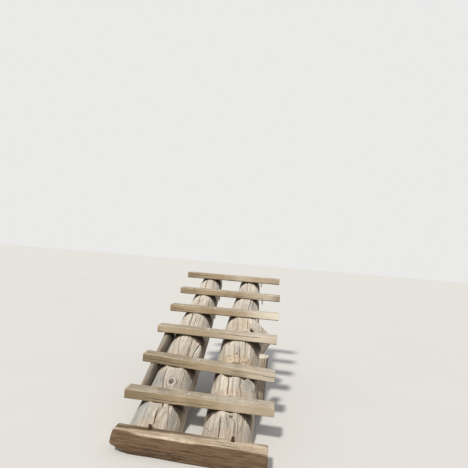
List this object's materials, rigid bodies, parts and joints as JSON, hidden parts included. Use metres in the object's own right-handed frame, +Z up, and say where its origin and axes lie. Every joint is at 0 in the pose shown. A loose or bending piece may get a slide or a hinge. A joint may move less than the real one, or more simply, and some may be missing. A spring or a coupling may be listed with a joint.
{
  "type": "log stair",
  "caption": "Short open flight of sawn timber treads let into two heavy round logs that run up a bank, with a rough slabbed sill log across the foot.",
  "frame": {"origin": "middle of the sill's flat underside, where the sill bears on the ground at the foot of the bank", "axes": "+X along the treads to the right as seen when going up, +Y level into the bank in the way the flight climbs, +Z up"},
  "size_m": [1.266, 2.3544, 1.2077],
  "materials": {
    "log_wood": "weathered",
    "tread_wood": "weathered",
    "sill_wood": "weathered",
    "pole_wood": "weathered",
    "pin_steel": "dull",
    "bar_iron": "rusty"
  },
  "bodies": {
    "root": {"log_left": "log_wood", "log_right": "log_wood", "tread_1": "tread_wood", "tread_2": "tread_wood", "tread_3": "tread_wood", "tread_4": "tread_wood", "tread_5": "tread_wood", "tread_6": "tread_wood", "sill": "sill_wood", "side_pole": "pole_wood", "stake": "pole_wood", "tread_pin_left_2": "pin_steel", "tread_pin_left_3": "pin_steel", "tread_pin_left_4": "pin_steel", "tread_pin_left_5": "pin_steel", "tread_pin_left_6": "pin_steel", "tread_pin_right_1": "pin_steel", "tread_pin_right_2": "pin_steel", "tread_pin_right_3": "pin_steel", "sill_pin_left": "bar_iron", "sill_pin_right": "bar_iron"}
  },
  "joints": []
}
